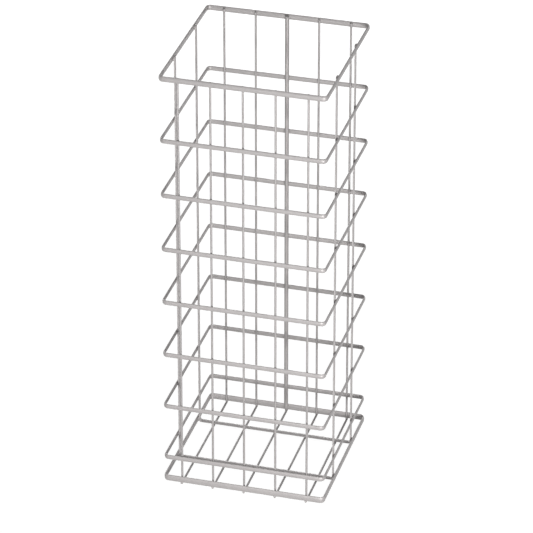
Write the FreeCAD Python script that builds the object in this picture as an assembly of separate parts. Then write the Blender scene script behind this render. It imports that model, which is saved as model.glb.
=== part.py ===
import FreeCAD, Part
import math
import os

# Open wire umbrella stand: square rings of oval wire welded round upright wires, over a
# floor of wires.
# Units are mm. +Z is up, the front faces -Y and +X is to the right.
# The origin is the middle of the footprint, on the ground.

# ---- Overall size ----
OVERALL_WIDTH = 220.0  # left to right, over the thickest ring
OVERALL_DEPTH = 220.0  # front to back, over the thickest ring
OVERALL_HEIGHT = 600.0  # ground to the top of the rim

# ---- Oval wire: bent the easy way, so its long axis stays upright in the rings ----
RIM_THICKNESS = 3.0
RIM_HEIGHT = 7.6
HOOP_THICKNESS = 2.5
HOOP_HEIGHT = 6.5
BASE_THICKNESS = 3.0
BASE_HEIGHT = 9.0
SIDE_WIRE_THICKNESS = 2.2
SIDE_WIRE_WIDTH = 7.5  # front to back

# ---- Round wire (diameters) ----
UPRIGHT_GAUGE = 2.8
POST_GAUGE = 5.5  # the stouter upright in the middle of the back
FLOOR_WIRE_GAUGE = 2.8

# ---- Layout ----
HOOP_COUNT = 7
LOWEST_HOOP_RISE = 32.0  # centre of the base ring to centre of the lowest hoop
TOP_HOOP_DROP = 87.7  # centre of the rim to centre of the highest hoop
UPRIGHT_COUNT = 5  # in the front row, and again in the back row
UPRIGHT_CORNER_INSET = 22.0  # rings' inner face to the first upright's centre
SIDE_WIRE_INSET = 60.0  # rings' inner face to a side wire's centre, front and back
UPRIGHT_TOP_DROP = 1.5  # rim's top to the cut ends of the uprights
FLOOR_WIRE_END_INSET = 0.5  # base ring's outer face to the cut end of a floor wire

# ---- Bends and ends ----
RING_CORNER_RADIUS = 6.5  # over the outside of every ring's corners
SIDE_WIRE_INSIDE_RADIUS = 2.0
END_CHAMFER = 0.4
POST_FOOT_LENGTH = 9.0  # drawn-down foot of the back centre post
POST_FOOT_GAUGE = 3.4

# ---- Roundness ----
# A wire's section has this many flats, a multiple of four, and is measured across them. So
# every crossing wire is seated flat on flat, as a pressed weld leaves it.
WIRE_FLATS = 16
BEND_STEPS = 6  # straight chords in a quarter turn

# ---- Directions ----
RIGHT = FreeCAD.Vector(1, 0, 0)
BACK = FreeCAD.Vector(0, 1, 0)
UP = FreeCAD.Vector(0, 0, 1)
QUARTER_TURN = 90.0

# ---- Derived faces and levels ----
thickest_ring = max(RIM_THICKNESS, HOOP_THICKNESS, BASE_THICKNESS)
inner_half_width = OVERALL_WIDTH / 2 - thickest_ring
inner_half_depth = OVERALL_DEPTH / 2 - thickest_ring
seat_level = FLOOR_WIRE_GAUGE
rim_level = OVERALL_HEIGHT - RIM_HEIGHT / 2
base_level = seat_level + BASE_HEIGHT / 2
upright_top = OVERALL_HEIGHT - UPRIGHT_TOP_DROP


# ---- Wire forming ----
def section(place, heading, long_side, width, thickness):
    """Corner points of the wire's section, with one flat facing long_side.

    width is measured along long_side and thickness across it. A round wire has them equal.
    """
    across = heading.cross(long_side)
    flat_to_corner = 1 / math.cos(math.pi / WIRE_FLATS)
    along_reach = long_side * (width / 2 * flat_to_corner)
    across_reach = across * (thickness / 2 * flat_to_corner)
    points = []
    for number in range(WIRE_FLATS):
        angle = (number + 0.5) * 2 * math.pi / WIRE_FLATS
        points.append(place + along_reach * math.cos(angle) + across_reach * math.sin(angle))
    return points


def polygon_face(points):
    """Flat face through points, which run anticlockwise seen from outside."""
    return Part.Face(Part.makePolygon(points + points[:1]))


def skin(sections, is_loop):
    """Solid wire through its sections, closed on itself or capped at both ends."""
    spans = list(zip(sections, sections[1:]))
    faces = []
    if is_loop:
        spans.append((sections[-1], sections[0]))
    else:
        faces.append(polygon_face(sections[0][::-1]))
        faces.append(polygon_face(sections[-1]))
    for near, far in spans:
        for number in range(WIRE_FLATS):
            after = (number + 1) % WIRE_FLATS
            faces.append(polygon_face([near[number], near[after], far[after], far[number]]))
    return Part.makeSolid(Part.makeShell(faces))


def feed_and_bend(start, heading, plane_normal, steps):
    """Stations of a wire formed as a wire bender does it: feed a length, then bend.

    steps holds ("feed", length) and ("bend", radius of the wire's centre). Every bend is a
    quarter turn to the left about plane_normal. A station is a (place, heading) pair.
    """
    place = start
    stations = [(place, heading)]
    for action, size in steps:
        if action == "feed":
            place = place + heading * size
            stations.append((place, heading))
            continue
        pivot = place + plane_normal.cross(heading) * size
        turn = FreeCAD.Rotation(plane_normal, QUARTER_TURN / BEND_STEPS)
        for _ in range(BEND_STEPS):
            heading = turn.multVec(heading)
            place = pivot - plane_normal.cross(heading) * size
            stations.append((place, heading))
    return stations


def cut_wire(width, thickness, stations, long_side):
    """Open wire of one section through its stations, with both cut ends chamfered."""
    tip_width = width - 2 * END_CHAMFER
    tip_thickness = thickness * tip_width / width
    first, first_heading = stations[0]
    last, last_heading = stations[-1]
    sections = [section(first, first_heading, long_side, tip_width, tip_thickness)]
    shoulder = first + first_heading * END_CHAMFER
    sections.append(section(shoulder, first_heading, long_side, width, thickness))
    for place, heading in stations[1:-1]:
        sections.append(section(place, heading, long_side, width, thickness))
    shoulder = last - last_heading * END_CHAMFER
    sections.append(section(shoulder, last_heading, long_side, width, thickness))
    sections.append(section(last, last_heading, long_side, tip_width, tip_thickness))
    return skin(sections, is_loop=False)


# ---- Pieces ----
def make_ring(thickness, height, level):
    """Closed square ring whose inner faces lie on the inner width and depth."""
    half_width = inner_half_width + thickness / 2
    half_depth = inner_half_depth + thickness / 2
    radius = RING_CORNER_RADIUS - thickness / 2
    front_run = ("feed", 2 * (half_width - radius))
    side_run = ("feed", 2 * (half_depth - radius))
    corner = ("bend", radius)
    start = FreeCAD.Vector(radius - half_width, -half_depth, level)
    stations = feed_and_bend(start, RIGHT, UP, [front_run, corner, side_run, corner] * 2)
    stations.pop()  # back at the start
    sections = [section(place, heading, UP, height, thickness) for place, heading in stations]
    return skin(sections, is_loop=True)


def make_upright(x, side):
    """Straight wire against the inner faces of the rings, in front (-1) or behind (+1)."""
    y = side * (inner_half_depth - UPRIGHT_GAUGE / 2)
    foot = FreeCAD.Vector(x, y, seat_level)
    top = FreeCAD.Vector(x, y, upright_top)
    return cut_wire(UPRIGHT_GAUGE, UPRIGHT_GAUGE, [(foot, UP), (top, UP)], BACK)


def make_post(x):
    """Back centre post: a stout upright with its foot drawn down for the floor wire.

    The taper keeps the post's back flat against the rings down to the foot.
    """
    sizes = [
        (seat_level, POST_FOOT_GAUGE),
        (seat_level + POST_FOOT_LENGTH, POST_GAUGE),
        (upright_top - END_CHAMFER, POST_GAUGE),
    ]
    sections = []
    for level, gauge in sizes:
        place = FreeCAD.Vector(x, inner_half_depth - gauge / 2, level)
        sections.append(section(place, UP, BACK, gauge, gauge))
    tip = FreeCAD.Vector(x, inner_half_depth - POST_GAUGE / 2, upright_top)
    tip_gauge = POST_GAUGE - 2 * END_CHAMFER
    sections.append(section(tip, UP, BACK, tip_gauge, tip_gauge))
    return skin(sections, is_loop=False)


def make_side_wire(y):
    """One oval wire bent to a U: left upright, floor crossing and right upright."""
    half_span = inner_half_width - SIDE_WIRE_THICKNESS / 2
    crossing_level = seat_level + SIDE_WIRE_THICKNESS / 2
    radius = SIDE_WIRE_INSIDE_RADIUS + SIDE_WIRE_THICKNESS / 2
    leg = ("feed", upright_top - crossing_level - radius)
    crossing = ("feed", 2 * (half_span - radius))
    corner = ("bend", radius)
    start = FreeCAD.Vector(-half_span, y, upright_top)
    stations = feed_and_bend(start, -UP, -BACK, [leg, corner, crossing, corner, leg])
    return cut_wire(SIDE_WIRE_WIDTH, SIDE_WIRE_THICKNESS, stations, -BACK)


def make_floor_wire(x):
    """Straight wire on the ground, from the base ring's front face to its back face."""
    half_length = inner_half_depth + BASE_THICKNESS - FLOOR_WIRE_END_INSET
    front = FreeCAD.Vector(x, -half_length, FLOOR_WIRE_GAUGE / 2)
    back = FreeCAD.Vector(x, half_length, FLOOR_WIRE_GAUGE / 2)
    stations = [(front, BACK), (back, BACK)]
    return cut_wire(FLOOR_WIRE_GAUGE, FLOOR_WIRE_GAUGE, stations, UP)


# ---- Assembly: every node's name and its solid ----
pieces = {}

lowest_hoop = base_level + LOWEST_HOOP_RISE
hoop_pitch = (rim_level - TOP_HOOP_DROP - lowest_hoop) / (HOOP_COUNT - 1)
pieces["top_rim_ring"] = make_ring(RIM_THICKNESS, RIM_HEIGHT, rim_level)
for number in range(1, HOOP_COUNT + 1):
    level = lowest_hoop + hoop_pitch * (HOOP_COUNT - number)
    pieces["hoop_%d" % number] = make_ring(HOOP_THICKNESS, HOOP_HEIGHT, level)
pieces["base_ring"] = make_ring(BASE_THICKNESS, BASE_HEIGHT, base_level)

outer_place = inner_half_width - UPRIGHT_CORNER_INSET
upright_pitch = 2 * outer_place / (UPRIGHT_COUNT - 1)
middle = (UPRIGHT_COUNT + 1) // 2
for number in range(1, UPRIGHT_COUNT + 1):
    x = (number - 1) * upright_pitch - outer_place
    pieces["floor_wire_%d" % number] = make_floor_wire(x)
    pieces["front_upright_%d" % number] = make_upright(x, -1)
    if number == middle:
        pieces["back_centre_post"] = make_post(x)
    else:
        pieces["back_upright_%d" % number] = make_upright(x, 1)

side_place = inner_half_depth - SIDE_WIRE_INSET
pieces["side_wire_front"] = make_side_wire(-side_place)
pieces["side_wire_back"] = make_side_wire(side_place)

os.makedirs("parts", exist_ok=True)
for name, solid in pieces.items():
    solid.exportStep("parts/%s.step" % name)
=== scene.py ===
"""Looks of a lacquered steel-wire umbrella stand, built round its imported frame."""

import logging
import math
from dataclasses import dataclass, field
from enum import Enum

import bpy
from mathutils import Matrix, Vector


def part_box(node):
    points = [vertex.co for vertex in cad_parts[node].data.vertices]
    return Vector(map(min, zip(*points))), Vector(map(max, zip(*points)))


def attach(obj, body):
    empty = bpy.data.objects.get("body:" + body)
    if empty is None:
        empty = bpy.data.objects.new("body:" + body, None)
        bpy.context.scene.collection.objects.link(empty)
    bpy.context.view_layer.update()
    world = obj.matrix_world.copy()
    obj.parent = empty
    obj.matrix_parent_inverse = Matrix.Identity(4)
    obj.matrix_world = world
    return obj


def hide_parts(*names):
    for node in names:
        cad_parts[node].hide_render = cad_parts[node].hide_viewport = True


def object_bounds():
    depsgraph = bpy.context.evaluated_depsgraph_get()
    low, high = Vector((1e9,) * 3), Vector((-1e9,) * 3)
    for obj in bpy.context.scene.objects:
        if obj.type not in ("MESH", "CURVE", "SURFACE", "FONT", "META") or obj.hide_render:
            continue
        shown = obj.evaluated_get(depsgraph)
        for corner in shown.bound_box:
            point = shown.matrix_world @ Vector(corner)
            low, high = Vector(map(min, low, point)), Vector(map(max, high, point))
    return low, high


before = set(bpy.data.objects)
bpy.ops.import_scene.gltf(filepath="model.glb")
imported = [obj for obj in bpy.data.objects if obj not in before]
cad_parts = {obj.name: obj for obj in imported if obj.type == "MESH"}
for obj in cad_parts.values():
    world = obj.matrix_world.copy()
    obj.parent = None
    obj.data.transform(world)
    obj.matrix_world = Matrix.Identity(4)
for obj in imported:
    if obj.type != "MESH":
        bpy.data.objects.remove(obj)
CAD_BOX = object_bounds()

LOG = logging.getLogger("umbrella_stand")
MM = 0.001
BODY = "root"
UP = Vector((0.0, 0.0, 1.0))
BACK = Vector((0.0, 1.0, 0.0))
WHITE = (1.0, 1.0, 1.0, 1.0)
MID_NOISE = (0.5, 0.5, 0.5)
# Places of sockets on the Mix node for colours and the Random Value node for numbers,
# whose other sockets have the same names.
MIX_FACTOR = 0
MIX_FIRST = 6
MIX_SECOND = 7
MIX_RESULT = 2
RANDOM_LEAST = 2
RANDOM_MOST = 3
RANDOM_RESULT = 1


# ----- Material slots -----
class Slot(Enum):
    """The material slots of the record."""

    RING = "ring_lacquer"
    UPRIGHT = "upright_lacquer"
    FLOOR = "floor_lacquer"


# ----- Node tree helper -----
class Tree:
    """A node tree that is filled in by short calls."""

    def __init__(self, tree: bpy.types.NodeTree) -> None:
        """Keep the tree.

        Args:
            tree: the node tree to fill in.
        """
        self.tree = tree

    def node(
        self, kind: str, values: dict[str | int, object] | None = None, **settings: object
    ) -> bpy.types.Node:
        """Add a node.

        Args:
            kind: the node's type name.
            values: input socket names or numbers with what they hold: a plain value or an
                output socket to link from.
            **settings: properties of the node.

        Returns:
            The new node.
        """
        made = self.tree.nodes.new(kind)
        for name, setting in settings.items():
            setattr(made, name, setting)
        for key, value in (values or {}).items():
            socket = made.inputs[key]
            if isinstance(value, bpy.types.NodeSocket):
                self.tree.links.new(value, socket)
            else:
                socket.default_value = value
        return made

    def math(self, operation: str, *terms: object, clamp: bool = False) -> bpy.types.NodeSocket:
        """Add a Math node.

        Args:
            operation: the Math node's operation.
            *terms: its inputs, plain numbers or output sockets.
            clamp: whether the result is kept between 0 and 1.

        Returns:
            The result socket.
        """
        values = dict(enumerate(terms))
        return self.node("ShaderNodeMath", values, operation=operation, use_clamp=clamp).outputs[0]

    def vector_math(self, operation: str, *terms: object) -> bpy.types.NodeSocket:
        """Add a Vector Math node and return its vector."""
        values = dict(enumerate(terms))
        return self.node("ShaderNodeVectorMath", values, operation=operation).outputs["Vector"]

    def scaled(self, vector: object, factor: object) -> bpy.types.NodeSocket:
        """Return a vector times a factor."""
        values = {0: vector, "Scale": factor}
        return self.node("ShaderNodeVectorMath", values, operation="SCALE").outputs["Vector"]

    def mixed(
        self, factor: object, first: object, second: object, **settings: object
    ) -> bpy.types.NodeSocket:
        """Mix two colours.

        Args:
            factor: how much of the second colour there is.
            first: the first colour, three numbers or an output socket.
            second: the second colour, likewise.
            **settings: further properties of the Mix node.

        Returns:
            The mixed colour.
        """
        colours = [(*c, 1.0) if isinstance(c, tuple) else c for c in (first, second)]
        values = {MIX_FACTOR: factor, MIX_FIRST: colours[0], MIX_SECOND: colours[1]}
        return self.node("ShaderNodeMix", values, data_type="RGBA", **settings).outputs[MIX_RESULT]


def add_sockets(tree: bpy.types.NodeTree, way: str, sockets: dict[str, str]) -> dict[str, str]:
    """Add named sockets to a group's interface.

    Args:
        tree: the group.
        way: "INPUT" or "OUTPUT".
        sockets: each socket's name with its type name.

    Returns:
        Each socket's name with its identifier.
    """
    made = {}
    for name, kind in sockets.items():
        made[name] = tree.interface.new_socket(name=name, in_out=way, socket_type=kind).identifier
    return made


# ----- Wire forming with Geometry Nodes -----
@dataclass
class FormingTree:
    """Geometry Nodes tree that turns a path of corner points into a formed wire.

    Attributes:
        section_sides: how many sides the round or oval section has.
        bend_points: how many points each bend has.
        sharp_angle: the angle past which an edge stays sharp.
        waver_scale: how often the unevenness comes and goes, per metre.
        seam_width: how far the rise at a butt weld reaches to each side.
        tree: the node group.
        inputs: each input's name with its identifier.
    """

    section_sides: int = 24
    bend_points: int = 12
    sharp_angle: float = math.radians(35)
    waver_scale: float = 18.0
    seam_width: float = 1.1 * MM
    tree: bpy.types.NodeTree = field(init=False)
    inputs: dict[str, str] = field(init=False)

    def __post_init__(self) -> None:
        """Build the tree once."""
        self.tree = bpy.data.node_groups.new("formed_wire", "GeometryNodeTree")
        self.tree.is_modifier = True
        number = "NodeSocketFloat"
        self.inputs = add_sockets(
            self.tree,
            "INPUT",
            {
                "Path": "NodeSocketGeometry",
                "Long Side": "NodeSocketVector",
                "Thickness": number,
                "Height": number,
                "Bend Radius": number,
                "Spacing": number,
                "End Chamfer": number,
                "Tip Scale": number,
                "Foot Length": number,
                "Foot Scale": number,
                "Seam Rise": number,
                "Waver": number,
                "Seed": number,
                "Finish": "NodeSocketMaterial",
            },
        )
        add_sockets(self.tree, "OUTPUT", {"Wire": "NodeSocketGeometry"})
        self._fill()

    def _fill(self) -> None:
        """Place and link the nodes."""
        t = Tree(self.tree)
        given = t.node("NodeGroupInput").outputs
        path = t.node("GeometryNodeMeshToCurve", {"Mesh": given["Path"]}).outputs["Curve"]
        corner = self._attribute(t, "is_bend", "FLOAT")
        bent = t.node(
            "GeometryNodeFilletCurve",
            {
                "Curve": path,
                "Radius": t.math("MULTIPLY", given["Bend Radius"], corner),
                "Limit Radius": True,
                "Count": t.math("MULTIPLY", corner, self.bend_points),
            },
            mode="POLY",
        )
        laid = t.node(
            "GeometryNodeSubdivideCurve",
            {"Curve": bent.outputs[0], "Cuts": self._cuts(t, given["Spacing"])},
        )
        wavered = self._waver(t, given, laid.outputs[0])
        turned = t.node(
            "GeometryNodeSetCurveNormal", {"Curve": wavered, "Normal": given["Long Side"]}, mode="FREE"
        )
        profile = self._profile(t, given)
        sized, radius = self._radius(t, given, turned.outputs[0])
        skin = t.node(
            "GeometryNodeCurveToMesh",
            {"Curve": sized, "Profile Curve": profile, "Fill Caps": True, "Scale": radius},
        )
        angle = t.node("GeometryNodeInputMeshEdgeAngle").outputs["Unsigned Angle"]
        sharp = t.node("FunctionNodeCompare", {0: angle, 1: self.sharp_angle}, operation="GREATER_THAN")
        smooth = t.node(
            "GeometryNodeSetShadeSmooth",
            {"Geometry": skin.outputs[0], "Shade Smooth": True},
            domain="FACE",
        )
        edged = t.node(
            "GeometryNodeSetShadeSmooth",
            {"Geometry": smooth.outputs[0], "Selection": sharp.outputs[0], "Shade Smooth": False},
            domain="EDGE",
        )
        real = t.node("GeometryNodeRealizeInstances", {"Geometry": edged.outputs[0]})
        dressed = t.node(
            "GeometryNodeSetMaterial", {"Geometry": real.outputs[0], "Material": given["Finish"]}
        )
        t.node("NodeGroupOutput", {"Wire": dressed.outputs[0]})

    @staticmethod
    def _attribute(t: Tree, name: str, kind: str) -> bpy.types.NodeSocket:
        """Return a named attribute of the path's points."""
        return t.node("GeometryNodeInputNamedAttribute", {"Name": name}, data_type=kind).outputs[0]

    @staticmethod
    def _cuts(t: Tree, spacing: bpy.types.NodeSocket) -> bpy.types.NodeSocket:
        """Count the cuts in each stretch that leave its points about spacing apart.

        Args:
            t: the tree.
            spacing: the wanted distance between points.

        Returns:
            The number of cuts, a field on the curve's points.
        """
        here = t.node("GeometryNodeInputPosition").outputs[0]
        following = t.node("GeometryNodeOffsetPointInCurve", {"Offset": 1}).outputs["Point Index"]
        there = t.node(
            "GeometryNodeFieldAtIndex",
            {"Index": following, "Value": here},
            data_type="FLOAT_VECTOR",
            domain="POINT",
        ).outputs[0]
        stretch = t.node("ShaderNodeVectorMath", {0: here, 1: there}, operation="DISTANCE")
        return t.math("FLOOR", t.math("DIVIDE", stretch.outputs["Value"], spacing))

    def _waver(self, t: Tree, given: object, curve: bpy.types.NodeSocket) -> bpy.types.NodeSocket:
        """Add the small unevenness of a wire that a machine has straightened and bent.

        Args:
            t: the tree.
            given: the group's input sockets.
            curve: the even curve.

        Returns:
            The uneven curve.
        """
        place = t.node("GeometryNodeInputPosition").outputs[0]
        noise = t.node(
            "ShaderNodeTexNoise",
            {"Vector": place, "W": given["Seed"], "Scale": self.waver_scale, "Detail": 1.0},
            noise_dimensions="4D",
        )
        centred = t.vector_math("SUBTRACT", noise.outputs["Color"], MID_NOISE)
        offset = t.scaled(centred, given["Waver"])
        return t.node("GeometryNodeSetPosition", {"Geometry": curve, "Offset": offset}).outputs[0]

    def _profile(self, t: Tree, given: object) -> bpy.types.NodeSocket:
        """Draw the wire's section: round, or oval where height and thickness differ.

        Args:
            t: the tree.
            given: the group's input sockets.

        Returns:
            The section curve.
        """
        circle = t.node(
            "GeometryNodeCurvePrimitiveCircle", {"Resolution": self.section_sides, "Radius": 0.5}
        )
        size = t.node("ShaderNodeCombineXYZ", {0: given["Height"], 1: given["Thickness"], 2: 1.0})
        drawn = t.node(
            "GeometryNodeTransform", {"Geometry": circle.outputs["Curve"], "Scale": size.outputs[0]}
        )
        return drawn.outputs[0]

    def _radius(
        self, t: Tree, given: object, curve: bpy.types.NodeSocket
    ) -> tuple[bpy.types.NodeSocket, bpy.types.NodeSocket]:
        """Chamfer the ends, draw down the foot and raise the butt-weld seam.

        Args:
            t: the tree.
            given: the group's input sockets.
            curve: the wire's centre line.

        Returns:
            The curve with its radius set, and the radius as a field.
        """
        along = t.node("GeometryNodeSplineParameter").outputs["Length"]
        whole = t.node("GeometryNodeSplineLength").outputs["Length"]
        from_end = t.math("MINIMUM", along, t.math("SUBTRACT", whole, along))
        chamfer = t.node(
            "ShaderNodeMapRange",
            {"Value": from_end, "From Max": given["End Chamfer"], "To Min": given["Tip Scale"]},
        ).outputs[0]
        foot = t.node(
            "ShaderNodeMapRange",
            {"Value": along, "From Max": given["Foot Length"], "To Min": given["Foot Scale"]},
            interpolation_type="SMOOTHSTEP",
        ).outputs[0]
        reach = t.math("DIVIDE", from_end, self.seam_width)
        bump = t.math("EXPONENT", t.math("MULTIPLY", t.math("MULTIPLY", reach, reach), -1.0))
        seam = t.math("ADD", t.math("MULTIPLY", bump, given["Seam Rise"]), 1.0)
        radius = t.math("MULTIPLY", t.math("MULTIPLY", chamfer, foot), seam)
        sized = t.node("GeometryNodeSetCurveRadius", {"Curve": curve, "Radius": radius})
        return sized.outputs[0], radius


@dataclass(frozen=True)
class WirePlan:
    """What one formed wire is: its path, its gauge and how its ends are.

    Attributes:
        name: the finished piece's name.
        nodes: the CAD nodes that it takes the place of.
        path: the wire's two ends, or a loop's seam once, and its corners in order.
        thickness: the section's short side.
        height: the section's long side.
        long_side: the direction of the long side.
        slot: the record's material slot; it is not used.
        is_loop: whether the ends are welded to each other.
        bend_radius: the radius of the centre line in each bend.
        foot_length: how far up the foot is drawn down.
        foot_scale: the gauge at the foot, as a share of the full gauge.
        seam_rise: how much thicker the wire is at its butt weld, as a share.
    """

    name: str
    nodes: tuple[str, ...]
    path: tuple[Vector, ...]
    thickness: float
    height: float
    long_side: Vector
    slot: Slot
    is_loop: bool = False
    bend_radius: float = 0.0
    foot_length: float = 0.0
    foot_scale: float = 1.0
    seam_rise: float = 0.0


@dataclass
class WireShop:
    """Makes every wire of the stand as a plain mesh.

    Attributes:
        spacing: the distance between points on a straight run.
        end_chamfer: how far a cut end is broken.
        seam_steps: the distances of the close points beside a butt weld.
        waver: how far a wire strays from straight, to both sides together.
        nothing: a length that stands for none where zero would divide.
        forming: the tree that forms the wires.
        made: how many wires are made so far, which seeds the next one's unevenness.
    """

    spacing: float = 6.0 * MM
    end_chamfer: float = 0.4 * MM
    seam_steps: tuple[float, ...] = (0.4 * MM, 0.8 * MM, 1.3 * MM, 2.0 * MM, 3.0 * MM)
    waver: float = 0.25 * MM
    nothing: float = 0.001 * MM
    forming: FormingTree = field(default_factory=FormingTree)
    made: int = 0

    def make(self, plan: WirePlan, finish: bpy.types.Material) -> bpy.types.Object:
        """Form one wire.

        Args:
            plan: what the wire is.
            finish: its material.

        Returns:
            The wire as a plain mesh object that rides on the stand.
        """
        self.made += 1
        blank = bpy.data.objects.new(plan.name + "_path", self._path_mesh(plan))
        bpy.context.scene.collection.objects.link(blank)
        modifier = blank.modifiers.new("forming", "NODES")
        modifier.node_group = self.forming.tree
        values = {
            "Long Side": tuple(plan.long_side),
            "Thickness": plan.thickness,
            "Height": plan.height,
            "Bend Radius": plan.bend_radius,
            "Spacing": self.spacing,
            "End Chamfer": self.nothing if plan.is_loop else self.end_chamfer,
            "Tip Scale": 1.0 if plan.is_loop else 1.0 - 2 * self.end_chamfer / plan.height,
            "Foot Length": max(plan.foot_length, self.nothing),
            "Foot Scale": plan.foot_scale,
            "Seam Rise": plan.seam_rise,
            "Waver": self.waver,
            "Seed": float(self.made),
            "Finish": finish,
        }
        for name, value in values.items():
            modifier[self.forming.inputs[name]] = value
        piece = plain_mesh(blank, plan.name, finish)
        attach(piece, BODY)
        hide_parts(*plan.nodes)
        return piece

    def _path_mesh(self, plan: WirePlan) -> bpy.types.Mesh:
        """Lay out the wire's corners, with close points beside its ends.

        Args:
            plan: what the wire is.

        Returns:
            A mesh of points joined by edges, each marked whether the wire bends there.
        """
        corners = plan.path[1:] if plan.is_loop else plan.path[1:-1]
        steps = self.seam_steps if plan.is_loop else (self.end_chamfer,)
        start = plan.path[0]
        end = start if plan.is_loop else plan.path[-1]
        first_way = (plan.path[1] - start).normalized()
        last_way = (end - (corners[-1] if corners else start)).normalized()
        points = [start, *(start + first_way * step for step in steps), *corners]
        points += [end - last_way * step for step in reversed(steps)]
        if not plan.is_loop:
            points.append(end)
        count = len(points)
        edges = [(number, number + 1) for number in range(count - 1)]
        if plan.is_loop:
            edges.append((count - 1, 0))
        mesh = bpy.data.meshes.new(plan.name + "_path")
        mesh.from_pydata([tuple(point) for point in points], edges, [])
        is_bend = mesh.attributes.new("is_bend", "FLOAT", "POINT")
        first_corner = 1 + len(steps)
        for number in range(first_corner, first_corner + len(corners)):
            is_bend.data[number].value = 1.0
        return mesh


def plain_mesh(source: bpy.types.Object, name: str, finish: bpy.types.Material) -> bpy.types.Object:
    """Turn an object's evaluated geometry into a plain mesh object and remove the source.

    Args:
        source: the object with its modifier.
        name: the new object's name.
        finish: the material of the new mesh.

    Returns:
        The new object, at the origin.
    """
    bpy.context.view_layer.update()
    evaluated = source.evaluated_get(bpy.context.evaluated_depsgraph_get())
    mesh = bpy.data.meshes.new_from_object(evaluated)
    mesh.name = name
    mesh.materials.clear()
    mesh.materials.append(finish)
    source.modifiers.clear()
    bpy.data.objects.remove(source)
    made = bpy.data.objects.new(name, mesh)
    bpy.context.scene.collection.objects.link(made)
    return made


# ----- Finishes -----
@dataclass
class LacquerGroups:
    """Shader node groups that the finishes share.

    Attributes:
        ripple_share: how much of the height is fine ripple.
        lump_share: how much of the height is broad lumps.
        patch_scale: how fine the patches of rubbed lacquer are.
        peel: the group for the ripple of sprayed lacquer.
        flake: the group for metal flake.
        rub: the group for lacquer rubbed thin.
    """

    ripple_share: float = 0.4
    lump_share: float = 0.6
    patch_scale: float = 60.0
    peel: bpy.types.NodeTree = field(init=False)
    flake: bpy.types.NodeTree = field(init=False)
    rub: bpy.types.NodeTree = field(init=False)

    def __post_init__(self) -> None:
        """Build each group once."""
        self.peel = self._orange_peel()
        self.flake = self._flake()
        self.rub = self._floor_rub()

    @staticmethod
    def _new(name: str, inputs: dict[str, str], outputs: dict[str, str]) -> Tree:
        """Start a shader group.

        Args:
            name: the group's name.
            inputs: each input's name with its type name.
            outputs: each output's name with its type name.

        Returns:
            The empty group with its sockets.
        """
        group = bpy.data.node_groups.new(name, "ShaderNodeTree")
        add_sockets(group, "INPUT", inputs)
        add_sockets(group, "OUTPUT", outputs)
        return Tree(group)

    def _orange_peel(self) -> bpy.types.NodeTree:
        """Build the fine ripple of sprayed lacquer over drawn wire.

        Returns:
            The group.
        """
        number = "NodeSocketFloat"
        t = self._new(
            "orange_peel",
            {"Place": "NodeSocketVector", "Ripple Scale": number, "Lump Scale": number},
            {"Height": number, "Mottle": number},
        )
        given = t.node("NodeGroupInput").outputs
        ripple = t.node(
            "ShaderNodeTexNoise",
            {"Vector": given["Place"], "Scale": given["Ripple Scale"], "Detail": 2.0, "Roughness": 0.45},
        ).outputs[0]
        lumps = t.node(
            "ShaderNodeTexNoise",
            {"Vector": given["Place"], "Scale": given["Lump Scale"], "Detail": 3.0, "Roughness": 0.55},
        ).outputs[0]
        fine = t.math("MULTIPLY", ripple, self.ripple_share)
        height = t.math("ADD", fine, t.math("MULTIPLY", lumps, self.lump_share))
        t.node("NodeGroupOutput", {"Height": height, "Mottle": lumps})
        return t.tree

    def _flake(self) -> bpy.types.NodeTree:
        """Build the sparkle of metal flake in the lacquer.

        Returns:
            The group.
        """
        number = "NodeSocketFloat"
        t = self._new("flake", {"Place": "NodeSocketVector", "Scale": number}, {"Sparkle": number})
        given = t.node("NodeGroupInput").outputs
        cells = t.node("ShaderNodeTexVoronoi", {"Vector": given["Place"], "Scale": given["Scale"]})
        parts = t.node("ShaderNodeSeparateColor", {0: cells.outputs["Color"]})
        t.node("NodeGroupOutput", {"Sparkle": parts.outputs[0]})
        return t.tree

    def _floor_rub(self) -> bpy.types.NodeTree:
        """Build the mask of lacquer rubbed thin where the stand slides on the floor.

        Returns:
            The group.
        """
        number = "NodeSocketFloat"
        t = self._new("floor_rub", {"Place": "NodeSocketVector", "Reach": number}, {"Mask": number})
        given = t.node("NodeGroupInput").outputs
        level = t.node("ShaderNodeSeparateXYZ", {0: given["Place"]}).outputs["Z"]
        patches = t.node(
            "ShaderNodeTexNoise", {"Vector": given["Place"], "Scale": self.patch_scale, "Detail": 4.0}
        ).outputs[0]
        reach = t.math("MULTIPLY", given["Reach"], t.math("MULTIPLY", patches, 2.0))
        low = t.math("SUBTRACT", 1.0, t.math("DIVIDE", level, reach), clamp=True)
        t.node("NodeGroupOutput", {"Mask": low})
        return t.tree


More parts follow.
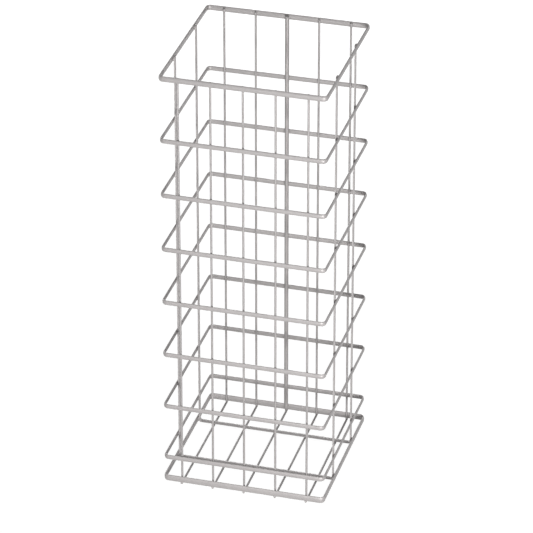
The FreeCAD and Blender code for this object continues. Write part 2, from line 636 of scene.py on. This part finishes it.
@dataclass(frozen=True)
class SilverLacquer:
    """Satin silver-grey lacquer on steel wire.

    Attributes:
        name: the material's name.
        colour: the lacquer's colour; in the uprights', side wires', floor wires' and welds' copies it
            also carries painted light and shade.
        shade: its darker tone in the mottle.
        metallic: how metallic it is.
        roughness: its middle roughness.
        roughness_spread: how far the mottle changes the roughness, from end to end.
        ripple_scale: how fine the spray ripple is.
        lump_scale: how fine the lumps and the mottle are.
        flake_scale: how fine the metal flake is.
        flake_amount: how much the flake lightens or darkens.
        mottle_from: the noise value where the shade begins.
        mottle_to: the noise value where the shade is full.
        mottle_amount: how much of the shade shows there.
        bump_distance: the depth of the ripple.
        bump_strength: how strongly the ripple bends the light.
        rub_reach: how high above the floor the lacquer is rubbed.
        bare_steel: the colour where it is rubbed.
    """

    name: str
    colour: tuple[float, float, float]
    shade: tuple[float, float, float]
    metallic: float = 0.2
    roughness: float = 0.45
    roughness_spread: float = 0.1
    ripple_scale: float = 900.0
    lump_scale: float = 160.0
    flake_scale: float = 5200.0
    flake_amount: float = 0.05
    mottle_from: float = 0.3
    mottle_to: float = 0.7
    mottle_amount: float = 0.5
    bump_distance: float = 0.05 * MM
    bump_strength: float = 0.5
    rub_reach: float = 0.15 * MM
    bare_steel: tuple[float, float, float] = (0.30, 0.29, 0.285)

    def build(self, groups: LacquerGroups) -> bpy.types.Material:
        """Build the material.

        Args:
            groups: the shared node groups.

        Returns:
            The material.
        """
        material = bpy.data.materials.new(self.name)
        material.use_nodes = True
        material.node_tree.nodes.clear()
        t = Tree(material.node_tree)
        place = t.node("ShaderNodeTexCoord").outputs["Object"]
        peel = t.node(
            "ShaderNodeGroup",
            {"Place": place, "Ripple Scale": self.ripple_scale, "Lump Scale": self.lump_scale},
            node_tree=groups.peel,
        )
        flake = t.node(
            "ShaderNodeGroup", {"Place": place, "Scale": self.flake_scale}, node_tree=groups.flake
        )
        rub = t.node("ShaderNodeGroup", {"Place": place, "Reach": self.rub_reach}, node_tree=groups.rub)
        mottle = t.node(
            "ShaderNodeMapRange",
            {
                "Value": peel.outputs["Mottle"],
                "From Min": self.mottle_from,
                "From Max": self.mottle_to,
                "To Max": self.mottle_amount,
            },
        ).outputs[0]
        body = t.mixed(mottle, self.colour, self.shade)
        sparkle = t.node(
            "ShaderNodeMapRange",
            {
                "Value": flake.outputs["Sparkle"],
                "To Min": 1.0 - self.flake_amount,
                "To Max": 1.0 + self.flake_amount,
            },
        ).outputs[0]
        lit = t.mixed(1.0, body, sparkle, blend_type="MULTIPLY")
        worn = t.mixed(rub.outputs["Mask"], lit, self.bare_steel)
        rough = t.node(
            "ShaderNodeMapRange",
            {
                "Value": peel.outputs["Mottle"],
                "To Min": self.roughness - self.roughness_spread / 2,
                "To Max": self.roughness + self.roughness_spread / 2,
            },
        ).outputs[0]
        bump = t.node(
            "ShaderNodeBump",
            {
                "Strength": self.bump_strength,
                "Distance": self.bump_distance,
                "Height": peel.outputs["Height"],
            },
        ).outputs[0]
        shader = t.node(
            "ShaderNodeBsdfPrincipled",
            {"Base Color": worn, "Metallic": self.metallic, "Roughness": rough, "Normal": bump},
        )
        t.node("ShaderNodeOutputMaterial", {"Surface": shader.outputs[0]})
        return material


# One silver lacquer covers the whole stand. The rings' copy has its own colour, and the other copies are
# painted lighter or darker than it.
RING_LACQUER = SilverLacquer(
    "silver_lacquer_rings", colour=(0.42, 0.398, 0.395), shade=(0.35, 0.332, 0.329)
)
# The uprights' and post's copy, painted darker than the rings' as painted shade.
UPRIGHT_PAINTED_SHADE_LACQUER = SilverLacquer(
    "silver_lacquer_uprights_painted_shade", colour=(0.37, 0.351, 0.348), shade=(0.31, 0.294, 0.292)
)
# The side wires' copy, painted lighter than the rings' as painted light, mostly for the up-facing floor
# crossing.
SIDE_WIRE_PAINTED_LIGHT_LACQUER = SilverLacquer(
    "silver_lacquer_side_wires_painted_light", colour=(0.49, 0.465, 0.461), shade=(0.43, 0.408, 0.405)
)
# The floor wires' copy, painted a little darker than the rings' as painted shade.
FLOOR_PAINTED_SHADE_LACQUER = SilverLacquer(
    "silver_lacquer_floor_painted_shade", colour=(0.41, 0.389, 0.385), shade=(0.35, 0.332, 0.329)
)
# The welds' copy, painted lighter than the rings' as painted light in the grooves between crossing wires.
WELD_PAINTED_LIGHT_LACQUER = SilverLacquer(
    "silver_lacquer_welds_painted_light", colour=(0.46, 0.437, 0.433), shade=(0.40, 0.379, 0.376), roughness=0.5
)


# ----- Sub-assemblies -----
@dataclass
class RingStack:
    """The rim, the hoops and the base ring, each an oval wire bent to a square and butt-welded.

    Attributes:
        names: the rings' nodes.
        inner_mark: a node that reaches to the inner face of the rings' side runs.
        corner_radius: the outside radius of the corners.
        seam_offset: how far the butt weld is from the middle of the back run.
        seam_rise: how much thicker the wire is at its butt weld, as a share.
    """

    names: tuple[str, ...]
    inner_mark: str
    corner_radius: float = 6.5 * MM
    seam_offset: float = 21.0 * MM
    seam_rise: float = 0.05

    def plan(self, name: str) -> WirePlan:
        """Plan one ring from its box.

        Args:
            name: the ring's node.

        Returns:
            The plan. The path starts at the butt weld, on the back run.
        """
        low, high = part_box(name)
        thickness = high.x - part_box(self.inner_mark)[1].x
        x = high.x - thickness / 2
        y = high.y - thickness / 2
        level = (low.z + high.z) / 2
        corners = ((-x, y), (-x, -y), (x, -y), (x, y))
        path = [Vector((self.seam_offset, y, level))]
        path += [Vector((px, py, level)) for px, py in corners]
        return WirePlan(
            name=name + "_wire",
            nodes=(name,),
            path=tuple(path),
            thickness=thickness,
            height=high.z - low.z,
            long_side=UP,
            slot=Slot.RING,
            is_loop=True,
            bend_radius=self.corner_radius - thickness / 2,
            seam_rise=self.seam_rise,
        )

    def build(self, shop: WireShop, finish: bpy.types.Material) -> None:
        """Form every ring."""
        for name in self.names:
            report(shop.make(self.plan(name), finish))


@dataclass
class UprightRows:
    """The straight uprights of the front and the back, and the stout post between them.

    Attributes:
        names: the thin uprights' nodes.
        post_name: the post's node.
        post_foot_length: how far up the post's foot is drawn down.
        post_foot_gauge: the foot's gauge at the bottom.
    """

    names: tuple[str, ...]
    post_name: str = "back_centre_post"
    post_foot_length: float = 9.0 * MM
    post_foot_gauge: float = 3.4 * MM

    def plan(self, name: str) -> WirePlan:
        """Plan one straight upright from its box.

        Args:
            name: the upright's node.

        Returns:
            The plan, from the foot up.
        """
        low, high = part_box(name)
        x, y = (low.x + high.x) / 2, (low.y + high.y) / 2
        return WirePlan(
            name=name + "_wire",
            nodes=(name,),
            path=(Vector((x, y, low.z)), Vector((x, y, high.z))),
            thickness=high.x - low.x,
            height=high.x - low.x,
            long_side=BACK,
            slot=Slot.UPRIGHT,
        )

    def plan_post(self) -> WirePlan:
        """Plan the post, whose foot is drawn down towards the rings.

        Returns:
            The plan, from the foot up.
        """
        low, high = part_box(self.post_name)
        gauge = high.x - low.x
        x, y = (low.x + high.x) / 2, high.y - gauge / 2
        foot = Vector((x, high.y - self.post_foot_gauge / 2, low.z))
        shoulder = Vector((x, y, low.z + self.post_foot_length))
        return WirePlan(
            name=self.post_name + "_wire",
            nodes=(self.post_name,),
            path=(foot, shoulder, Vector((x, y, high.z))),
            thickness=gauge,
            height=gauge,
            long_side=BACK,
            slot=Slot.UPRIGHT,
            bend_radius=self.post_foot_length,
            foot_length=self.post_foot_length,
            foot_scale=self.post_foot_gauge / gauge,
        )

    def build(self, shop: WireShop, finish: bpy.types.Material) -> None:
        """Form every upright and the post.

        Args:
            shop: where wires are formed.
            finish: their material.
        """
        for name in self.names:
            report(shop.make(self.plan(name), finish))
        report(shop.make(self.plan_post(), finish))


@dataclass
class SideWires:
    """The two oval wires bent to a U: left upright, floor crossing and right upright.

    Attributes:
        names: the side wires' nodes.
        thickness: the section's short side.
        inside_radius: the inside radius of the bends.
    """

    names: tuple[str, ...]
    thickness: float = 2.2 * MM
    inside_radius: float = 2.0 * MM

    def plan(self, name: str) -> WirePlan:
        """Plan one side wire from its box.

        Args:
            name: the side wire's node.

        Returns:
            The plan, from the left top round to the right top.
        """
        low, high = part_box(name)
        x, y = high.x - self.thickness / 2, (low.y + high.y) / 2
        bottom = low.z + self.thickness / 2
        path = (
            Vector((-x, y, high.z)),
            Vector((-x, y, bottom)),
            Vector((x, y, bottom)),
            Vector((x, y, high.z)),
        )
        return WirePlan(
            name=name + "_wire",
            nodes=(name,),
            path=path,
            thickness=self.thickness,
            height=high.y - low.y,
            long_side=BACK,
            slot=Slot.UPRIGHT,
            bend_radius=self.inside_radius + self.thickness / 2,
        )

    def build(self, shop: WireShop, finish: bpy.types.Material) -> None:
        """Form both side wires."""
        for name in self.names:
            report(shop.make(self.plan(name), finish))


@dataclass
class FloorWires:
    """The straight floor wires, which the stand rests on.

    Attributes:
        names: the floor wires' nodes.
    """

    names: tuple[str, ...]

    def plan(self, name: str) -> WirePlan:
        """Plan one floor wire from its box.

        Args:
            name: the floor wire's node.

        Returns:
            The plan, from front to back.
        """
        low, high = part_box(name)
        x, z = (low.x + high.x) / 2, (low.z + high.z) / 2
        return WirePlan(
            name=name + "_wire",
            nodes=(name,),
            path=(Vector((x, low.y, z)), Vector((x, high.y, z))),
            thickness=high.x - low.x,
            height=high.z - low.z,
            long_side=UP,
            slot=Slot.FLOOR,
        )

    def build(self, shop: WireShop, finish: bpy.types.Material) -> None:
        """Form every floor wire."""
        for name in self.names:
            report(shop.make(self.plan(name), finish))


def report(piece: bpy.types.Object) -> None:
    """Log one finished piece."""
    LOG.info("%s: %d faces", piece.name, len(piece.data.polygons))


# ----- Welds -----
@dataclass(frozen=True)
class Weld:
    """One pressed weld between two crossing wires.

    Attributes:
        place: its middle.
        reach: how far it reaches from there along each axis.
    """

    place: Vector
    reach: Vector


@dataclass
class WeldTree:
    """Geometry Nodes tree that sets a small squeezed nugget on every weld point.

    Attributes:
        lumpiness: how far a nugget strays from an even shape, as a share of its reach.
        lump_scale: how often the lumps come and go over a nugget.
        roundness: how finely the nugget's ball is divided.
        tree: the node group.
        inputs: each input's name with its identifier.
    """

    lumpiness: float = 0.16
    lump_scale: float = 1.4
    roundness: int = 2
    tree: bpy.types.NodeTree = field(init=False)
    inputs: dict[str, str] = field(init=False)

    def __post_init__(self) -> None:
        """Build the tree once."""
        self.tree = bpy.data.node_groups.new("weld_nuggets", "GeometryNodeTree")
        self.tree.is_modifier = True
        self.inputs = add_sockets(
            self.tree,
            "INPUT",
            {
                "Welds": "NodeSocketGeometry",
                "Unevenness": "NodeSocketFloat",
                "Seed": "NodeSocketInt",
                "Finish": "NodeSocketMaterial",
            },
        )
        add_sockets(self.tree, "OUTPUT", {"Nuggets": "NodeSocketGeometry"})
        self._fill()

    def _fill(self) -> None:
        """Place and link the nodes."""
        t = Tree(self.tree)
        given = t.node("NodeGroupInput").outputs
        ball = t.node(
            "GeometryNodeMeshIcoSphere", {"Radius": 1.0, "Subdivisions": self.roundness}
        ).outputs["Mesh"]
        place = t.node("GeometryNodeInputPosition").outputs[0]
        noise = t.node("ShaderNodeTexNoise", {"Vector": place, "Scale": self.lump_scale, "Detail": 1.0})
        centred = t.vector_math("SUBTRACT", noise.outputs["Color"], MID_NOISE)
        lumpy = t.node(
            "GeometryNodeSetPosition", {"Geometry": ball, "Offset": t.scaled(centred, self.lumpiness)}
        ).outputs[0]
        reach = t.node(
            "GeometryNodeInputNamedAttribute", {"Name": "weld_reach"}, data_type="FLOAT_VECTOR"
        )
        size = t.node(
            "FunctionNodeRandomValue",
            {
                RANDOM_LEAST: t.math("SUBTRACT", 1.0, given["Unevenness"]),
                RANDOM_MOST: t.math("ADD", 1.0, given["Unevenness"]),
                "Seed": given["Seed"],
            },
            data_type="FLOAT",
        ).outputs[RANDOM_RESULT]
        points = t.node("GeometryNodeMeshToPoints", {"Mesh": given["Welds"]}).outputs[0]
        set_out = t.node(
            "GeometryNodeInstanceOnPoints",
            {"Points": points, "Instance": lumpy, "Scale": t.scaled(reach.outputs[0], size)},
        )
        real = t.node("GeometryNodeRealizeInstances", {"Geometry": set_out.outputs[0]})
        smooth = t.node("GeometryNodeSetShadeSmooth", {"Geometry": real.outputs[0], "Shade Smooth": True})
        dressed = t.node(
            "GeometryNodeSetMaterial", {"Geometry": smooth.outputs[0], "Material": given["Finish"]}
        )
        t.node("NodeGroupOutput", {"Nuggets": dressed.outputs[0]})


@dataclass
class Welds:
    """Every weld of the stand, found from where the wires cross.

    Attributes:
        rings: the rings' nodes.
        uprights: the uprights' nodes, the post among them.
        side_wires: the side wires' nodes.
        floor_wires: the floor wires' nodes.
        base_ring: the lowest ring's node.
        depth: how far a nugget reaches into each of its two wires.
        flare: how far it stands out beside the narrower wire.
        inset: how far it stays below the edges of a ring.
        unevenness: how much one nugget's size differs from the next, as a share.
        seed: the seed of those differences.
    """

    rings: tuple[str, ...]
    uprights: tuple[str, ...]
    side_wires: tuple[str, ...]
    floor_wires: tuple[str, ...]
    base_ring: str
    depth: float = 0.75 * MM
    flare: float = 0.3 * MM
    inset: float = 0.2 * MM
    unevenness: float = 0.05
    seed: int = 7

    def on_ring(self, ring: str) -> list[Weld]:
        """Find the welds where the uprights and side wires cross one ring.

        Args:
            ring: the ring's node.

        Returns:
            The welds. Each fills the groove between its two wires up to the ring's edges.
        """
        low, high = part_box(ring)
        level = (low.z + high.z) / 2
        tall = (high.z - low.z) / 2 - self.inset
        welds = []
        for name in self.uprights:
            first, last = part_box(name)
            outer = last.y if last.y > 0 else first.y
            across = (last.x - first.x) / 2 + self.flare
            place = Vector(((first.x + last.x) / 2, outer, level))
            welds.append(Weld(place, Vector((across, self.depth, tall))))
        for name in self.side_wires:
            first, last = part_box(name)
            across = (last.y - first.y) / 2 + self.flare
            for outer in (first.x, last.x):
                place = Vector((outer, (first.y + last.y) / 2, level))
                welds.append(Weld(place, Vector((self.depth, across, tall))))
        return welds

    def on_floor(self) -> list[Weld]:
        """Find the welds on top of the floor wires.

        Returns:
            The welds under the base ring and under the side wires.
        """
        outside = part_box(self.base_ring)[1].y
        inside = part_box(self.uprights[-1])[1].y
        half = (outside - inside) / 2
        spots = [(-inside - half, half), (inside + half, half)]
        for side_wire in self.side_wires:
            low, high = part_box(side_wire)
            spots.append(((low.y + high.y) / 2, (high.y - low.y) / 2))
        welds = []
        for name in self.floor_wires:
            first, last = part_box(name)
            across = (last.x - first.x) / 2 + self.flare
            for y, along in spots:
                place = Vector(((first.x + last.x) / 2, y, last.z))
                welds.append(Weld(place, Vector((across, along, self.depth))))
        return welds

    def build(self, finish: bpy.types.Material) -> None:
        """Make the nuggets of each ring and of the floor.

        Args:
            finish: their material.
        """
        tree = WeldTree()
        for ring in self.rings:
            self._make(tree, ring + "_welds", self.on_ring(ring), finish)
        self._make(tree, "floor_welds", self.on_floor(), finish)

    def _make(
        self, tree: WeldTree, name: str, welds: list[Weld], finish: bpy.types.Material
    ) -> None:
        """Make one group of nuggets as a plain mesh.

        Args:
            tree: the tree that sets them out.
            name: the new piece's name.
            welds: where they are.
            finish: their material.
        """
        mesh = bpy.data.meshes.new(name + "_points")
        mesh.from_pydata([tuple(weld.place) for weld in welds], [], [])
        reaches = mesh.attributes.new("weld_reach", "FLOAT_VECTOR", "POINT")
        for number, weld in enumerate(welds):
            reaches.data[number].vector = weld.reach
        holder = bpy.data.objects.new(name + "_points", mesh)
        bpy.context.scene.collection.objects.link(holder)
        modifier = holder.modifiers.new("nuggets", "NODES")
        modifier.node_group = tree.tree
        for key, value in (("Unevenness", self.unevenness), ("Seed", self.seed), ("Finish", finish)):
            modifier[tree.inputs[key]] = value
        piece = plain_mesh(holder, name, finish)
        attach(piece, BODY)
        report(piece)


# ----- Studio -----
@dataclass(frozen=True)
class Softbox:
    """One large soft lamp aimed at a point of the stand.

    Attributes:
        name: the lamp's name.
        place: where its middle is.
        size: its width and height.
        power: its power in watts.
        aim: the point that it faces.
    """

    name: str
    place: tuple[float, float, float]
    size: tuple[float, float]
    power: float
    aim: tuple[float, float, float] = (0.0, 0.0, 0.3)

    def build(self) -> None:
        """Add the lamp."""
        data = bpy.data.lights.new(self.name, "AREA")
        data.shape = "RECTANGLE"
        data.size, data.size_y = self.size
        data.energy = self.power
        lamp = bpy.data.objects.new(self.name, data)
        lamp.location = self.place
        way = Vector(self.aim) - Vector(self.place)
        lamp.rotation_euler = way.to_track_quat("-Z", "Y").to_euler()
        bpy.context.scene.collection.objects.link(lamp)


@dataclass
class Studio:
    """Pale floor, soft light and the camera.

    Attributes:
        azimuth: how far the camera stands round to the right of the front.
        elevation: how far it stands above level.
        distance: how far it is from the middle of the stand.
        lens: its focal length in millimetres.
        far_limit: how far it sees.
        aim_right: how far it is moved to its right.
        aim_up: how far it is moved up, square to its line of sight.
        floor_size: the floor's side.
        floor_colour: the floor's colour in its own light.
        floor_glow: how much of white the floor adds where it is seen.
        world_side: the surround's colour at and below the horizon.
        world_top: its colour overhead.
        side_height: where the change from the one to the other begins, 1 being straight up.
        top_height: where it ends.
        softboxes: the lamps.
    """

    azimuth: float = math.radians(15.53)
    elevation: float = math.radians(29.19)
    distance: float = 5.0
    lens: float = 258.6
    far_limit: float = 100.0
    aim_right: float = 1.24 * MM
    aim_up: float = -13.4 * MM
    floor_size: float = 30.0
    floor_colour: tuple[float, float, float, float] = (0.26, 0.26, 0.26, 1.0)
    floor_glow: float = 0.93
    world_side: tuple[float, float, float] = (0.12, 0.12, 0.12)
    world_top: tuple[float, float, float] = (0.3, 0.3, 0.3)
    side_height: float = 0.05
    top_height: float = 0.75
    softboxes: tuple[Softbox, ...] = (
        Softbox("front_low", (0.75, -1.75, 0.12), (1.4, 0.2), 40.0),
        Softbox("back_fill", (-0.2, 2.2, 0.3), (1.8, 0.6), 28.0),
        Softbox("left_fill", (-2.2, 0.6, 0.3), (1.6, 0.6), 7.0),
    )

    def build(self) -> None:
        """Add everything round the stand."""
        self._floor()
        self._world()
        for softbox in self.softboxes:
            softbox.build()
        self._camera()
        bpy.context.scene.view_settings.view_transform = "Standard"

    def _floor(self) -> None:
        """Add the floor: pale, near white where it is seen, and keeping the stand's soft shadow."""
        half = self.floor_size / 2
        corners = [(-half, -half, 0.0), (half, -half, 0.0), (half, half, 0.0), (-half, half, 0.0)]
        mesh = bpy.data.meshes.new("floor")
        mesh.from_pydata(corners, [], [(0, 1, 2, 3)])
        floor = bpy.data.objects.new("floor", mesh)
        bpy.context.scene.collection.objects.link(floor)
        material = bpy.data.materials.new("pale_floor")
        material.use_nodes = True
        material.node_tree.nodes.clear()
        t = Tree(material.node_tree)
        matt = t.node("ShaderNodeBsdfDiffuse", {"Color": self.floor_colour})
        glow = t.node("ShaderNodeEmission", {"Color": WHITE, "Strength": self.floor_glow})
        both = t.node("ShaderNodeAddShader", {0: matt.outputs[0], 1: glow.outputs[0]})
        t.node("ShaderNodeOutputMaterial", {"Surface": where_seen(t, both, matt)})
        mesh.materials.append(material)

    def _world(self) -> None:
        """Add the soft surround: dim round the horizon, brighter overhead, white where it is seen."""
        world = bpy.data.worlds.new("surround")
        bpy.context.scene.world = world
        world.use_nodes = True
        world.node_tree.nodes.clear()
        t = Tree(world.node_tree)
        way = t.node("ShaderNodeTexCoord").outputs["Generated"]
        height = t.node("ShaderNodeSeparateXYZ", {0: way}).outputs["Z"]
        ramp = t.node(
            "ShaderNodeMapRange",
            {"Value": height, "From Min": self.side_height, "From Max": self.top_height},
        )
        light = t.mixed(ramp.outputs[0], self.world_side, self.world_top)
        soft = t.node("ShaderNodeBackground", {"Color": light, "Strength": 1.0})
        white = t.node("ShaderNodeBackground", {"Color": WHITE, "Strength": 1.0})
        t.node("ShaderNodeOutputWorld", {"Surface": where_seen(t, white, soft)})

    def _camera(self) -> None:
        """Add the camera, aimed near the middle of the stand."""
        low, high = CAD_BOX
        centre = (Vector(low) + Vector(high)) / 2
        back = Vector(
            (
                math.sin(self.azimuth) * math.cos(self.elevation),
                -math.cos(self.azimuth) * math.cos(self.elevation),
                math.sin(self.elevation),
            )
        )
        right = Vector((-back.y, back.x, 0.0)).normalized()
        up = back.cross(right)
        data = bpy.data.cameras.new("camera")
        data.lens = self.lens
        data.clip_end = self.far_limit
        camera = bpy.data.objects.new("camera", data)
        place = centre + back * self.distance + right * self.aim_right + up * self.aim_up
        turn = Matrix((right, up, back)).transposed().to_4x4()
        camera.matrix_world = Matrix.Translation(place) @ turn
        bpy.context.scene.collection.objects.link(camera)
        bpy.context.scene.camera = camera


def where_seen(t: Tree, seen: bpy.types.Node, unseen: bpy.types.Node) -> bpy.types.NodeSocket:
    """Choose a shader by whether the camera sees it, straight, in a gloss or through glass.

    Args:
        t: the tree.
        seen: the shader for what is seen.
        unseen: the shader for all other light.

    Returns:
        The chosen shader.
    """
    rays = t.node("ShaderNodeLightPath").outputs
    bounced = t.math("MAXIMUM", rays["Is Glossy Ray"], rays["Is Transmission Ray"])
    chosen = t.math("MAXIMUM", rays["Is Camera Ray"], bounced)
    return t.node("ShaderNodeMixShader", {0: chosen, 1: unseen.outputs[0], 2: seen.outputs[0]}).outputs[0]


# ----- Assembly -----
def node_names(start: str) -> tuple[str, ...]:
    """Return the CAD nodes whose names begin with start, in order."""
    return tuple(sorted(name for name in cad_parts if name.startswith(start)))


def main() -> None:
    """Build the stand and the studio."""
    logging.basicConfig(level=logging.INFO, format="%(message)s")
    groups = LacquerGroups()
    shop = WireShop()
    rings = ("top_rim_ring", *node_names("hoop_"), "base_ring")
    uprights = (*node_names("front_upright_"), *node_names("back_upright_"))
    side_wires = node_names("side_wire_")
    floor_wires = node_names("floor_wire_")
    rows = UprightRows(uprights)
    welds = Welds(rings, (*uprights, rows.post_name), side_wires, floor_wires, rings[-1])
    RingStack(rings, side_wires[0]).build(shop, RING_LACQUER.build(groups))
    rows.build(shop, UPRIGHT_PAINTED_SHADE_LACQUER.build(groups))
    SideWires(side_wires).build(shop, SIDE_WIRE_PAINTED_LIGHT_LACQUER.build(groups))
    FloorWires(floor_wires).build(shop, FLOOR_PAINTED_SHADE_LACQUER.build(groups))
    welds.build(WELD_PAINTED_LIGHT_LACQUER.build(groups))
    Studio().build()


if __name__ == "__main__":
    main()
